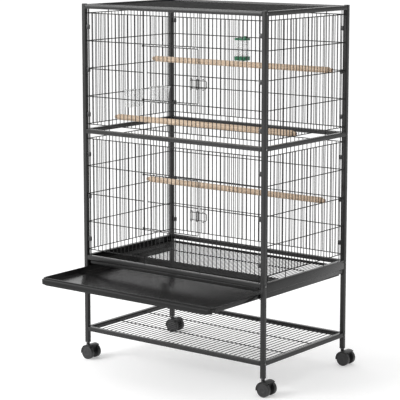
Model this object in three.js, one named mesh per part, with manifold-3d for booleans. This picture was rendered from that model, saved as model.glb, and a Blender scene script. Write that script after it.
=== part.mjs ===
// Two-level flight cage on a wheeled stand, in millimetres, +Z up, front towards -Y.
// Square steel tubes carry welded wire panels, two doors, a sliding floor grate, a sliding tray,
// a wire shelf, wooden perches, clear feeders and four twin-wheel casters.
import * as THREE from "three";
import { mergeVertices } from "three/addons/utils/BufferGeometryUtils.js";
import Module from "manifold-3d";

const wasm = await Module();
wasm.setup();

// Frame
const WIDTH = 820;
const DEPTH = 520;
const TUBE = 16;
const TUBE_WALL = 1.2;
const GAP = 0.3; // play kept between separate pieces that touch

// Heights above the floor
const LEG_BOTTOM = 62;
const TOP = 1320;
const SHELF_TOP = 119;
const BASE_TOP = 392;
const APRON_BOTTOM = 344;
const APRON_CREASE = 360;
const APRON_SHEET = 1.6;
const RUNNER_DROP_AT = 12; // the runner's step down, inwards of the apron's middle
const MID_TOP = 864;

// Wire panels
const THIN_WIRE = 2.2;
const CROSS_WIRE = 3.5;
const THICK_WIRE = 4;
const PANEL_EDGE = 12; // from a post's inner face to the panel's edge wire
const WIDE_GAPS = 42; // between the upright wires of a front or back panel
const SIDE_GAPS = 25;
const UPPER_ROWS = [882, 984, 1086, 1187, 1288];
const LOWER_ROWS = [414, 518, 622, 726, 828];

// Doors and their latches
const DOOR_CLEARANCE = 6;
const HINGE_EYE = { inner: 3.4, outer: 5.4, height: 7 };
const LATCH = { length: 75, height: 30, wire: 3, lead: 34, standoff: 4.4, below: 27 }; // below a middle row
const EYE_DEPTH = 9.6; // how far a latch eye stands out from the wires

// Floor grate, tray and shelf
const GRATE_Z = 369;
const GRATE_GAPS = 56;
const TRAY = { rimTop: 354, rim: 3, halfWidth: 386, back: -20, front: -515, depth: 20, sheet: 2 };
const LIP = { reach: 14, drop: 24, hem: 5, hemInset: 36 };
const SHELF_GAPS = 40;

// Perches and feeders
const PERCH = { radius: 11, tenon: 7.1, halfLength: 409 };
const PERCHES = { upper: [148.5, 1086], middle: [-74.2, 882], lower: [110.9, 622] }; // y, and row below it
const CUP = { width: 70, reach: 55, height: 66, wall: 2, top: 990 };
const HOPPER = { centreX: -44, width: 46, reach: 33, height: 84, base: 15, wall: 2 };

// Casters
const WHEEL_RADIUS = 25;
const WHEEL_SIDES = 24;
const WHEEL_WIDTH = 14;
const WHEEL_SPREAD = 38; // between the middles of the two wheels
const AXLE_RADIUS = 3;
const TRAIL = 16;
const HOOD = { clearance: 1.8, thickness: 2.6, web: 20 };
const PLUG_COLLAR = 2.3; // below the leg's bottom
const POST_LIFT = 2; // the post's end sits this far up on the collar

const HALF_W = WIDTH / 2;
const HALF_D = DEPTH / 2;
const INNER_W = WIDTH - 2 * TUBE;
const INNER_D = DEPTH - 2 * TUBE;
const PANEL_X = HALF_W - TUBE / 2;
const PANEL_Y = HALF_D - TUBE / 2;
const WIDE_SPAN = INNER_W - 2 * PANEL_EDGE;
const SIDE_SPAN = INNER_D - 2 * PANEL_EDGE;
const CROSS_OFFSET = THIN_WIRE / 2 + CROSS_WIRE / 2 + GAP;

const steel = { color: 0x3a3a3c, roughness: 0.5, metalness: 0.4 };
const plastic = { color: 0x343538, roughness: 0.35, metalness: 0.4 };
const wood = { color: 0xc9a888, roughness: 0.7, metalness: 0 };
const clear = { color: 0xe8eef0, roughness: 0.15, metalness: 0, transparent: true, opacity: 0.4 };
const green = { color: 0x1f6b45, roughness: 0.4, metalness: 0 };
const black = { color: 0x18181a, roughness: 0.5, metalness: 0 };

// ---------- solids ----------

// A three.js geometry as a manifold-3d solid.
function solid(geometry) {
  const bare = geometry.clone();
  bare.deleteAttribute("normal");
  bare.deleteAttribute("uv");
  const merged = mergeVertices(bare, 1e-4);
  const vertProperties = merged.attributes.position.array;
  const triVerts = new Uint32Array(merged.index.array);
  return new wasm.Manifold(new wasm.Mesh({ numProp: 3, vertProperties, triVerts }));
}

// A box between two corners.
function block(low, high) {
  const size = high.map((value, axis) => value - low[axis]);
  const geometry = new THREE.BoxGeometry(...size);
  geometry.translate(...high.map((value, axis) => (value + low[axis]) / 2));
  return solid(geometry);
}

// A cylinder or prism along an axis ("x", "y" or "z"), centred on a point.
function rod(radius, length, axis, centre, sides = 16, turn = 0) {
  const geometry = new THREE.CylinderGeometry(radius, radius, length, sides, 1, false, turn);
  if (axis === "x") geometry.rotateZ(Math.PI / 2);
  if (axis === "z") geometry.rotateX(Math.PI / 2);
  geometry.translate(...centre);
  return solid(geometry);
}

// An outline in the XZ plane, given as [x, z] points, extruded along Y between two places.
function slabXZ(points, yFrom, yTo) {
  const shape = new THREE.Shape(points.map(([x, z]) => new THREE.Vector2(x, z)));
  const geometry = new THREE.ExtrudeGeometry(shape, { depth: yTo - yFrom, bevelEnabled: false });
  geometry.rotateX(Math.PI / 2);
  geometry.translate(0, yTo, 0);
  return solid(geometry);
}

// An outline in the YZ plane, given as [y, z] points, extruded along X between two places.
function slabYZ(points, xFrom, xTo) {
  return slabXZ(points, -xTo, -xFrom).rotate([0, 0, 90]);
}

function union(solids) {
  return solids.reduce((whole, piece) => whole.add(piece));
}

// The solid as a named three.js mesh.
function mesh(name, shape, look) {
  const made = shape.getMesh();
  const geometry = new THREE.BufferGeometry();
  geometry.setAttribute("position", new THREE.BufferAttribute(new Float32Array(made.vertProperties), 3));
  geometry.setIndex(new THREE.BufferAttribute(new Uint32Array(made.triVerts), 1));
  geometry.computeVertexNormals();
  const node = new THREE.Mesh(geometry, new THREE.MeshStandardMaterial(look));
  node.name = name;
  return node;
}

// ---------- tubes ----------

// A hollow square tube along X, open at both ends, centred on the origin.
function tubeX(length) {
  const half = TUBE / 2;
  const bore = half - TUBE_WALL;
  const outside = block([-length / 2, -half, -half], [length / 2, half, half]);
  return outside.subtract(block([-length, -bore, -bore], [length, bore, bore]));
}

// A rail across the width or the depth, in the plane of the posts.
function rail(name, side, top) {
  const along = side === "front" || side === "back";
  const length = (along ? INNER_W : INNER_D) - 2 * GAP;
  const node = mesh(name, tubeX(length), steel);
  if (along) {
    node.position.set(0, side === "front" ? -PANEL_Y : PANEL_Y, top - TUBE / 2);
  } else {
    node.rotation.z = Math.PI / 2;
    node.position.set(side === "left" ? -PANEL_X : PANEL_X, 0, top - TUBE / 2);
  }
  return node;
}

function railRing(prefix, top) {
  return ["front", "back", "left", "right"].map((side) => rail(`${prefix}_${side}_rail`, side, top));
}

// A post's bore stops below its top, which is welded shut.
function post(name, x, y) {
  const half = TUBE / 2;
  const bore = half - TUBE_WALL;
  const outside = block([-half, -half, LEG_BOTTOM + POST_LIFT], [half, half, TOP]);
  const inside = block([-bore, -bore, 0], [bore, bore, TOP - 2 * TUBE_WALL]);
  const node = mesh(name, outside.subtract(inside), steel);
  node.position.set(x, y, 0);
  return node;
}

// ---------- wire panels ----------
// A panel is drawn standing in the XZ plane. Its thin upright wires and its top and bottom cross wires
// share one plane, and the cross wires between them lie on the inner side, at +Y.

function upright(x, zFrom, zTo, wire = THIN_WIRE) {
  const half = wire / 2;
  return block([x - half, -half, zFrom], [x + half, half, zTo]);
}

function cross(z, xFrom, xTo, offset = 0) {
  const half = CROSS_WIRE / 2;
  const [left, right] = [xFrom, xTo].sort((a, b) => a - b);
  return block([left, offset - half, z - half], [right, offset + half, z + half]);
}

// The rows give the cross wires' heights. The thick wires reach the tubes above and below.
function wirePanel(span, gaps, thickAt, rows, floor, ceiling) {
  const [bottom, , , , top] = rows;
  const end = span / 2 + PANEL_EDGE - 2 * GAP;
  const pieces = [cross(bottom, -end, end), cross(top, -end, end)];
  for (const row of rows.slice(1, -1)) pieces.push(cross(row, -end, end, CROSS_OFFSET));
  for (let index = 0; index <= gaps; index++) {
    const x = -span / 2 + (index * span) / gaps;
    if (thickAt.includes(index)) pieces.push(upright(x, floor + GAP, ceiling - GAP, THICK_WIRE));
    else pieces.push(upright(x, bottom, top));
  }
  return union(pieces);
}

// A front wall is two halves round its doorway. Each is a full-height field with a strip that runs on
// over the doorway (the left half) or under it (the right half).
function frontHalf(over, rows, floor, ceiling) {
  const [bottom, low, middle, high, top] = rows;
  const side = over ? -1 : 1;
  const [outerRow, doorRow, otherRow] = over ? [top, high, bottom] : [bottom, low, top];
  const edge = side * (WIDE_SPAN / 2 + PANEL_EDGE - 2 * GAP);
  const jamb = (side * WIDE_SPAN) / 6;
  const stripEnd = -jamb + side * (THICK_WIRE / 2 + GAP);
  const pieces = [
    cross(outerRow, edge, stripEnd),
    cross(doorRow, jamb, stripEnd),
    cross(otherRow, edge, jamb),
  ];
  for (const row of [low, middle, high]) pieces.push(cross(row, edge, jamb, CROSS_OFFSET));
  for (let index = 0; index < (2 * WIDE_GAPS) / 3; index++) {
    const x = side * (WIDE_SPAN / 2 - index * widePitch);
    const thick = index === 0 || index === WIDE_GAPS / 3;
    if (thick) pieces.push(upright(x, floor + GAP, ceiling - GAP, THICK_WIRE));
    else if (index < WIDE_GAPS / 3) pieces.push(upright(x, bottom, top));
    else pieces.push(upright(x, Math.min(outerRow, doorRow), Math.max(outerRow, doorRow)));
  }
  if (!over) pieces.push(...prongs(widePlace(wideThick[2] + 1), middle - LATCH.below));
  return union(pieces);
}

const widePitch = WIDE_SPAN / WIDE_GAPS;
const widePlace = (index) => -WIDE_SPAN / 2 + index * widePitch;
const wideThick = [0, WIDE_GAPS / 3, (2 * WIDE_GAPS) / 3, WIDE_GAPS];
const sideThick = [0, 6, SIDE_GAPS - 6, SIDE_GAPS];

function panels(level, rows, floor, ceiling) {
  const side = () => wirePanel(SIDE_SPAN, SIDE_GAPS, sideThick, rows, floor, ceiling);
  const frontLeft = mesh(`${level}_front_left_panel`, frontHalf(true, rows, floor, ceiling), steel);
  frontLeft.position.y = -PANEL_Y;
  const frontRight = mesh(`${level}_front_right_panel`, frontHalf(false, rows, floor, ceiling), steel);
  frontRight.position.y = -PANEL_Y;
  const backWires = wirePanel(WIDE_SPAN, WIDE_GAPS, wideThick, rows, floor, ceiling);
  const back = mesh(`${level}_back_panel`, backWires, steel);
  back.position.y = PANEL_Y;
  back.rotation.z = Math.PI;
  const left = mesh(`${level}_left_panel`, side(), steel);
  left.position.x = -PANEL_X;
  left.rotation.z = -Math.PI / 2;
  const right = mesh(`${level}_right_panel`, side(), steel);
  right.position.x = PANEL_X;
  right.rotation.z = Math.PI / 2;
  return [frontLeft, frontRight, back, left, right];
}

// The roof lies flat: short wires run front to back, with cross wires under them.
function roofPanel() {
  const rows = [-0.5, -0.25, 0, 0.25, 0.5].map((share) => share * SIDE_SPAN);
  const reach = SIDE_SPAN / 2 + PANEL_EDGE;
  const node = mesh("roof_panel", wirePanel(WIDE_SPAN, WIDE_GAPS, wideThick, rows, -reach, reach), steel);
  node.rotation.x = -Math.PI / 2;
  node.position.z = TOP - TUBE / 2;
  return node;
}

// ---------- doors ----------

// Two prongs that stand out of the wires, above and below a latch loop.
function prongs(x, z) {
  const half = LATCH.wire / 2;
  const arm = LATCH.height / 2 + LATCH.wire + GAP;
  return [z - arm, z + arm].map((at) => block([x - half, -EYE_DEPTH, at - half], [x + half, 0, at + half]));
}

// A staple that holds a latch loop against the door, open along X.
function latchEye(x, z) {
  const half = LATCH.wire / 2;
  const arm = LATCH.height / 2 + LATCH.wire + GAP;
  const bridge = block([x - half, -EYE_DEPTH, z - arm], [x + half, -EYE_DEPTH + LATCH.wire - GAP, z + arm]);
  return union([...prongs(x, z), bridge]);
}

// A ring that turns round the panel's thick wire, on an arm from the corner of the door.
function hingeEye(axisX, edgeX, z) {
  const ring = rod(HINGE_EYE.outer, HINGE_EYE.height, "z", [axisX, 0, z], 8);
  const bore = rod(HINGE_EYE.inner, 2 * HINGE_EYE.height, "z", [axisX, 0, z], 8);
  const half = CROSS_WIRE / 2;
  const arm = block([axisX + HINGE_EYE.inner + 1, -half, z - half], [edgeX, half, z + half]);
  return ring.add(arm).subtract(bore);
}

const HINGE_X = widePlace(wideThick[1]);
const DOOR_LEFT = widePlace(wideThick[1] + 1);
const DOOR_RIGHT = widePlace(wideThick[2]) - DOOR_CLEARANCE - THICK_WIRE / 2;

function door(name, rows) {
  const bottom = rows[1] + DOOR_CLEARANCE;
  const top = rows[3] - DOOR_CLEARANCE;
  const half = CROSS_WIRE / 2;
  const latchZ = rows[2] - LATCH.below;
  const pieces = [
    cross(bottom, DOOR_LEFT - half, DOOR_RIGHT + half),
    cross(top, DOOR_LEFT - half, DOOR_RIGHT + half),
    cross(rows[2], DOOR_LEFT, DOOR_RIGHT, CROSS_OFFSET),
    upright(DOOR_LEFT, bottom, top, CROSS_WIRE),
    upright(DOOR_RIGHT, bottom, top, CROSS_WIRE),
    hingeEye(HINGE_X, DOOR_LEFT, bottom),
    hingeEye(HINGE_X, DOOR_LEFT, top),
    latchEye(DOOR_RIGHT, latchZ),
    latchEye(widePlace(wideThick[2] - 2), latchZ),
  ];
  for (let index = wideThick[1] + 2; index < wideThick[2]; index++) {
    pieces.push(upright(widePlace(index), bottom, top));
  }
  const node = mesh(name, union(pieces), steel);
  node.position.y = -PANEL_Y;
  return node;
}

// A closed wire loop, longer than it is high, that slides along X through the eyes.
function latch(name, z) {
  const right = widePlace(wideThick[2]) + LATCH.lead;
  const left = right - LATCH.length;
  const low = z - LATCH.height / 2;
  const high = z + LATCH.height / 2;
  const { wire } = LATCH;
  const outside = block([left, -wire / 2, low], [right, wire / 2, high]);
  const inside = block([left + wire, -wire, low + wire], [right - wire, wire, high - wire]);
  const node = mesh(name, outside.subtract(inside), steel);
  node.position.y = -PANEL_Y - LATCH.standoff;
  return node;
}

// ---------- base ----------

// The side aprons are folded sheet with a top flange and a creased face. Inside each are a ledge for the
// floor grate and, stepped down below it, a runner for the tray.
function apron(name, side) {
  const length = INNER_D - 2 * GAP;
  const face = TUBE / 2;
  const step = 2;
  const t = APRON_SHEET;
  const low = -face + step;
  const runner = TRAY.rimTop - TRAY.depth - GAP;
  const grateLedge = GRATE_Z - CROSS_WIRE / 2 - GAP;
  const reach = PANEL_X - TRAY.halfWidth + 8;
  const upperFace = [[-face, BASE_TOP], [-face, APRON_CREASE]];
  const facePoints = [...upperFace, [low, APRON_CREASE - step], [low, APRON_BOTTOM]];
  const runnerPoints = [
    [RUNNER_DROP_AT, APRON_BOTTOM],
    [RUNNER_DROP_AT, runner - t],
    [reach, runner - t],
    [reach, runner],
    [RUNNER_DROP_AT + t, runner],
    [RUNNER_DROP_AT + t, APRON_BOTTOM + t],
  ];
  const ledgePoints = [
    [-face + t, grateLedge - t],
    [reach, grateLedge - t],
    [reach, grateLedge],
    [-face + t, grateLedge],
  ];
  const profile = [
    ...facePoints,
    ...runnerPoints,
    [low + t, APRON_BOTTOM + t],
    [low + t, APRON_CREASE - step + t],
    [-face + t, APRON_CREASE + t],
    ...ledgePoints,
    [-face + t, BASE_TOP - t],
    [face, BASE_TOP - t],
    [face, BASE_TOP],
  ];
  const node = mesh(name, slabYZ(profile, -length / 2, length / 2), steel);
  node.position.x = side === "left" ? -PANEL_X : PANEL_X;
  node.rotation.z = side === "left" ? -Math.PI / 2 : Math.PI / 2;
  return node;
}

// Thin rods run front to back between two flat bars, under two cross wires. The back bar clears the ledges.
function floorGrate() {
  const halfW = TRAY.halfWidth - 4;
  const back = INNER_D / 2 - 4;
  const front = -HALF_D + 8;
  const pitch = (2 * halfW) / GRATE_GAPS;
  const thin = THIN_WIRE / 2;
  const bold = CROSS_WIRE / 2;
  const frontBar = [
    [-halfW, 366],
    [-halfW + 4, 362],
    [halfW - 4, 362],
    [halfW, 366],
    [halfW, 372],
    [-halfW, 372],
  ];
  const pieces = [
    slabXZ(frontBar, front - 3, front),
    block([-halfW + 5, back - 3, 362], [halfW - 5, back, 372]),
    block([-halfW, front - 1, GRATE_Z - bold], [-halfW + CROSS_WIRE, back, GRATE_Z + bold]),
    block([halfW - CROSS_WIRE, front - 1, GRATE_Z - bold], [halfW, back, GRATE_Z + bold]),
  ];
  for (let index = 1; index < GRATE_GAPS; index++) {
    const x = -halfW + index * pitch;
    pieces.push(block([x - thin, front - 1, GRATE_Z - thin], [x + thin, back - 1, GRATE_Z + thin]));
  }
  for (const y of [-INNER_D / 6, INNER_D / 6]) {
    const low = GRATE_Z + thin + GAP;
    pieces.push(block([-halfW + 1, y - bold, low], [halfW - 1, y + bold, low + CROSS_WIRE]));
  }
  return mesh("floor_grate", union(pieces), steel);
}

// A rectangle with rounded corners, as a slab.
function roundedSlab(halfW, yFrom, yTo, zFrom, zTo, radius) {
  const shape = new THREE.Shape();
  const arc = (x, y, from) => shape.absarc(x, y, radius, from, from + Math.PI / 2);
  arc(halfW - radius, yTo - radius, 0);
  arc(-halfW + radius, yTo - radius, Math.PI / 2);
  arc(-halfW + radius, yFrom + radius, Math.PI);
  arc(halfW - radius, yFrom + radius, (3 * Math.PI) / 2);
  const options = { depth: zTo - zFrom, bevelEnabled: false, curveSegments: 4 };
  const geometry = new THREE.ExtrudeGeometry(shape, options);
  geometry.translate(0, 0, zFrom);
  return solid(geometry);
}

// A shallow pan with a narrow rim, and a sloping lip along the front to pull it by.
function tray() {
  const { rimTop, rim, halfWidth, back, front, depth, sheet: t } = TRAY;
  const bottom = rimTop - depth;
  const outer = roundedSlab(halfWidth - rim, front + rim, back - rim, bottom, rimTop, 14);
  const wall = rim + t;
  const inner = roundedSlab(halfWidth - wall, front + wall, back - wall, bottom + t, rimTop + 1, 13);
  const flange = roundedSlab(halfWidth, front, back, rimTop - t, rimTop, 18);
  const lipLow = rimTop - LIP.drop;
  const lipOuter = [
    [front + 2, rimTop],
    [front, rimTop],
    [front - LIP.reach, lipLow + LIP.hem],
    [front - LIP.reach, lipLow + LIP.hem - t],
    [front - LIP.reach + t, lipLow + LIP.hem - t],
    [front + 2, rimTop - t - 1],
  ];
  const hem = [
    [front - LIP.reach, lipLow + LIP.hem],
    [front - LIP.reach, lipLow],
    [front - LIP.reach + t, lipLow],
    [front - LIP.reach + t, lipLow + LIP.hem],
  ];
  const lip = slabYZ(lipOuter, -halfWidth + 16, halfWidth - 16);
  const lipHem = slabYZ(hem, -halfWidth + LIP.hemInset, halfWidth - LIP.hemInset);
  return mesh("tray", union([outer, flange, lip, lipHem]).subtract(inner), plastic);
}

// Wires run front to back between two border wires, over two long cross wires that join the outermost pair.
function shelfWires() {
  const pitch = INNER_W / SHELF_GAPS;
  const z = SHELF_TOP - TUBE / 2;
  const thin = THIN_WIRE / 2;
  const bold = CROSS_WIRE / 2;
  const borderY = INNER_D / 2 - GAP - bold;
  const end = INNER_W / 2 - GAP;
  const border = (y) => block([-end, y - bold, z - bold], [end, y + bold, z + bold]);
  const pieces = [-borderY, borderY].map(border);
  for (let index = 1; index < SHELF_GAPS; index++) {
    const x = -INNER_W / 2 + index * pitch;
    const half = index === 1 || index === SHELF_GAPS - 1 ? bold - 0.15 : thin;
    pieces.push(block([x - half, -borderY, z - half], [x + half, borderY, z + half]));
  }
  const top = z - thin - 0.2;
  const reach = INNER_W / 2 - pitch + 5;
  for (const y of [-INNER_D / 6, INNER_D / 6]) {
    pieces.push(block([-reach, y - bold, top - CROSS_WIRE], [reach, y + bold, top]));
  }
  return mesh("shelf_wires", union(pieces), steel);
}

// ---------- perches and feeders ----------

// A dowel between the side walls. Its narrower ends pass between two uprights and rest on a cross wire.
function perch(name, y, row) {
  const z = row + CROSS_WIRE / 2 + GAP + PERCH.tenon;
  const length = 2 * (PANEL_X - CROSS_OFFSET - CROSS_WIRE / 2 - 1);
  const dowel = rod(PERCH.radius, length, "x", [0, y, z]);
  const tenons = rod(PERCH.tenon, 2 * PERCH.halfLength, "x", [0, y, z]);
  return mesh(name, dowel.add(tenons), wood);
}

// A hook that passes between two upright wires, over a cross wire and down behind it.
// It is drawn for a wall at y = 0 whose inner side faces -Y.
function hook(x, wireZ, thickness, wallY) {
  const half = 5;
  const over = wireZ + CROSS_WIRE / 2 + GAP;
  const near = -CROSS_OFFSET - CROSS_WIRE / 2 - GAP;
  const far = -CROSS_OFFSET + CROSS_WIRE / 2 + GAP;
  return union([
    block([x - half, wallY, wireZ - 8], [x + half, near, over + thickness]),
    block([x - half, near - 1, over], [x + half, far + thickness, over + thickness]),
    block([x - half, far, wireZ - 6], [x + half, far + thickness, over + thickness]),
  ]);
}

// An open cup with a sloping front, drawn against a wall at y = 0 and reaching towards -Y.
function feederCup(name, centreY) {
  const { width, reach, height, wall, top } = CUP;
  const back = -CROSS_OFFSET - CROSS_WIRE / 2 - GAP;
  const low = top - height;
  const profile = (inset) => [
    [back - inset, top + (inset ? 1 : 0)],
    [back - reach + inset, top + (inset ? 1 : 0)],
    [back - reach + 16 + inset, low + inset],
    [back - inset, low + inset],
  ].reverse();
  const outer = slabYZ(profile(0), -width / 2, width / 2);
  const inner = slabYZ(profile(wall), -width / 2 + wall, width / 2 - wall);
  const hookAt = 1.5 * (SIDE_SPAN / SIDE_GAPS);
  const hooks = [-hookAt, hookAt].map((x) => hook(x, UPPER_ROWS[1], wall, back - wall));
  const node = mesh(name, union([outer, ...hooks]).subtract(inner), clear);
  node.position.set(-PANEL_X, centreY, 0);
  node.rotation.z = Math.PI / 2;
  return node;
}

// A clear seed hopper with a green base and a green clip that hooks over the back panel's wire.
function seedHopper() {
  const { width, reach, height, base, wall } = HOPPER;
  const back = PANEL_Y - CROSS_OFFSET - CROSS_WIRE / 2 - GAP;
  const wireZ = UPPER_ROWS[3];
  const top = wireZ - 2;
  const low = top - height;
  const x = HOPPER.centreX;
  const hookX = widePlace(18) + widePitch / 2;
  const bin = (w, yFrom, yTo, zFrom, zTo) => block([x - w / 2, yFrom, zFrom], [x + w / 2, yTo, zTo]);
  const clipLow = top - 8;
  const body = bin(width, back - reach, back, low + base + GAP, clipLow - GAP)
    .subtract(bin(width - 2 * wall, back - reach + wall, back - wall, low, top));
  const tub = bin(width + 4, back - reach - 2, back, low, low + base)
    .subtract(bin(width, back - reach, back - wall, low + wall, low + base + 1));
  const clip = bin(width + 2, back - reach, back, clipLow, top)
    .subtract(bin(width - 4, back - reach + 3, back - 3, clipLow - 1, top + 1))
    .add(hook(hookX, wireZ, wall, back - PANEL_Y - wall).translate([0, PANEL_Y, 0]));
  return [
    mesh("seed_hopper_bin", body, clear),
    mesh("seed_hopper_base", tub, green),
    mesh("seed_hopper_clip", clip, green),
  ];
}

// ---------- casters ----------

const FACET = Math.PI / WHEEL_SIDES;
const AXLE_Z = WHEEL_RADIUS * Math.cos(FACET);

// Two wheels on one axle, which turn together. A flat of each tread meets the floor.
function wheelPair(name) {
  const centre = (side) => [0, (side * WHEEL_SPREAD) / 2, 0];
  const wheel = (side) => rod(WHEEL_RADIUS, WHEEL_WIDTH, "y", centre(side), WHEEL_SIDES, FACET);
  const axle = rod(AXLE_RADIUS, WHEEL_SPREAD, "y", [0, 0, 0], 12);
  const node = mesh(name, union([wheel(-1), wheel(1), axle]), black);
  node.position.set(TRAIL, 0, AXLE_Z);
  return node;
}

// The hood arches over both wheels on the stem's side, round a web that carries the axle and the stem.
function casterFrame(name) {
  const inner = WHEEL_RADIUS + HOOD.clearance;
  const outer = inner + HOOD.thickness;
  const from = THREE.MathUtils.degToRad(55);
  const to = THREE.MathUtils.degToRad(190);
  const steps = 9;
  const arc = (radius) => Array.from({ length: steps + 1 }, (_, index) => {
    const angle = from + ((to - from) * index) / steps;
    return [TRAIL + radius * Math.cos(angle), AXLE_Z + radius * Math.sin(angle)];
  });
  const halfWidth = (WHEEL_SPREAD + WHEEL_WIDTH) / 2;
  const shell = slabXZ([...arc(outer), ...arc(inner).reverse()], -halfWidth, halfWidth);
  const webPoints = [...arc(outer - 1), [TRAIL - 6, AXLE_Z - 7], [TRAIL + 6, AXLE_Z - 7]];
  const web = slabXZ(webPoints, -HOOD.web / 2, HOOD.web / 2);
  const bore = rod(AXLE_RADIUS + 0.5, 2 * HOOD.web, "y", [TRAIL, 0, AXLE_Z], 12);
  const neck = rod(6.5, 19.4, "z", [0, 0, LEG_BOTTOM - PLUG_COLLAR - GAP - 9.7], 16);
  const stem = rod(4.5, 44, "z", [0, 0, LEG_BOTTOM + 10], 12);
  return mesh(name, union([shell, web, neck, stem]).subtract(bore), black);
}

// A rounded plastic socket closes the leg's end and holds the caster's stem.
function legPlug(name) {
  const half = TUBE / 2;
  const bore = half - TUBE_WALL - GAP;
  const collarZ = LEG_BOTTOM + POST_LIFT - GAP - (PLUG_COLLAR + POST_LIFT) / 2;
  const collar = rod(half * Math.SQRT2, PLUG_COLLAR + POST_LIFT, "z", [0, 0, collarZ], 4, Math.PI / 4);
  const sleeve = block([-bore, -bore, LEG_BOTTOM], [bore, bore, LEG_BOTTOM + 26]);
  const hole = rod(5, 80, "z", [0, 0, LEG_BOTTOM], 16);
  return mesh(name, collar.add(sleeve).subtract(hole), black);
}

function corner(name, x, y) {
  const group = new THREE.Group();
  group.add(casterFrame(`${name}_caster_frame`), wheelPair(`${name}_caster_wheels`));
  group.add(legPlug(`${name}_leg_plug`));
  group.position.set(x, y, 0);
  return group;
}

// ---------- assembly ----------

const cage = new THREE.Group();
const corners = { front_left: [-1, -1], front_right: [1, -1], back_left: [-1, 1], back_right: [1, 1] };
for (const [name, [sideX, sideY]] of Object.entries(corners)) {
  cage.add(post(`${name}_post`, sideX * PANEL_X, sideY * PANEL_Y));
  cage.add(corner(name, sideX * PANEL_X, sideY * PANEL_Y));
}
cage.add(...railRing("top", TOP), ...railRing("mid", MID_TOP), ...railRing("shelf", SHELF_TOP));
cage.add(rail("base_front_rail", "front", BASE_TOP), rail("base_back_rail", "back", BASE_TOP));
cage.add(apron("left_apron", "left"), apron("right_apron", "right"));
cage.add(...panels("upper", UPPER_ROWS, MID_TOP, TOP - TUBE));
cage.add(...panels("lower", LOWER_ROWS, BASE_TOP, MID_TOP - TUBE));
cage.add(roofPanel(), floorGrate(), tray(), shelfWires());
cage.add(door("upper_door", UPPER_ROWS), door("lower_door", LOWER_ROWS));
cage.add(latch("upper_latch", UPPER_ROWS[2] - LATCH.below));
cage.add(latch("lower_latch", LOWER_ROWS[2] - LATCH.below));
for (const [level, [y, row]] of Object.entries(PERCHES)) cage.add(perch(`${level}_perch`, y, row));
const sidePlace = (index) => -SIDE_SPAN / 2 + (index * SIDE_SPAN) / SIDE_GAPS;
cage.add(feederCup("front_feeder_cup", sidePlace(12)), feederCup("back_feeder_cup", sidePlace(20)));
cage.add(...seedHopper());

// The origin is the bottom centre of the whole object's box, with the tray drawn out.
const box = new THREE.Box3().setFromObject(cage);
cage.position.set(-(box.min.x + box.max.x) / 2, -(box.min.y + box.max.y) / 2, -box.min.z);
const part = new THREE.Group();
part.add(cage);

export default part;
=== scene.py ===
"""Looks for a two-level flight cage on a wheeled stand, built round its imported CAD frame, in metres."""

import math

import bpy
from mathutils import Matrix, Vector


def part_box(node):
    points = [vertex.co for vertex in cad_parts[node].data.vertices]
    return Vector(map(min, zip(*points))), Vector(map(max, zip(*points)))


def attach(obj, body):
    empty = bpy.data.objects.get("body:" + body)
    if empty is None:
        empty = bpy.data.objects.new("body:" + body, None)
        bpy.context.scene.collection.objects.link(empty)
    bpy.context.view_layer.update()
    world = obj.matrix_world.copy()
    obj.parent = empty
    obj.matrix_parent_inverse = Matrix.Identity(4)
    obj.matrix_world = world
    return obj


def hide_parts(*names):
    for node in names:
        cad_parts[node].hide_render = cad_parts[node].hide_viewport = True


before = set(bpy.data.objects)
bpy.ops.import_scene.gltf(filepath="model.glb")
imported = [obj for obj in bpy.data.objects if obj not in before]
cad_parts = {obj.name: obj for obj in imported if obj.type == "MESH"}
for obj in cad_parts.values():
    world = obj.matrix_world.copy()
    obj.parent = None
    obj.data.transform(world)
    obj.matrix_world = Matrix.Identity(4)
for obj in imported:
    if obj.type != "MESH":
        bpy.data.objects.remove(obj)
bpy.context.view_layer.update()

# Tubes
TUBE = 0.016
TUBE_WALL = 0.0012
TUBE_CORNER = 0.0018

# Wires, each by its radius
THIN = 0.0014
CROSS = 0.0017
THICK = 0.0016
LATCH_WIRE = 0.0013
STAPLE_ARM = 0.0183  # from the latch's middle to each arm of the staples round it
WELD = 0.0003  # how far two welded wires sink into each other
WIRE_SIDES = 8

# Walls
PANEL_EDGE = 0.012  # from a post to the wall's outermost upright
WIDE_GAPS = 42
SIDE_GAPS = 25
WIDE_THICK = (0, 14, 28, 42)
SIDE_THICK = (0, 6, 19, 25)
UPPER_ROWS = (0.882, 0.984, 1.086, 1.187, 1.288)
LOWER_ROWS = (0.414, 0.518, 0.622, 0.726, 0.828)
UPPER_CLIPS = (0.918, 1.082, 1.238)
LOWER_CLIPS = (0.454, 0.614, 0.770)

# Doors
DOOR_GAP = 0.006  # between a door's loop and the wall's cross wires
DOOR_CORNER = 0.004
COIL_RADIUS = 0.0034
COIL_WIRE = 0.0011
COIL_STEP = 0.0021
STAPLE_WIDTH = 0.0112

# Perches and feeders
PERCH_TENON = 0.0071
TENON_LENGTH = 0.013
CUP_WALL = 0.0016
CUP_TAPER = 0.016
BIN_WALL = 0.0014

# Floor parts
GRATE_GAPS = 56
SHELF_GAPS = 40
TRAY_SHEET = 0.002
TRAY_CORNER = 0.014
TRAY_DEPTH = 0.018
# The tray's section from its floor to its rim, as steps out and up
TRAY_STEPS = (
    (0.0015, 0.0025),
    (0.0025, 0.0135),
    (0.001, 0.002),
    (0.0025, 0),
    (0.0012, -0.0012),
    (0, -0.003),
)
LIP_REACH = 0.014  # from the rim's front edge to the tray's foremost point
# The lip's section from the rim outwards, as steps out and down, and how much narrower each step is
LIP_STEPS = ((0.008, 0.001, 1), (0.0025, 0.002, 0.996), (0.0025, 0.0135, 0.99), (0.0003, 0.0025, 0.955))
BAR_HEIGHT = 0.010
BAR_SHEET = 0.003

# Casters
WHEEL_RADIUS = 0.025
WHEEL_WIDTH = 0.014
WHEEL_SPREAD = 0.038

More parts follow.
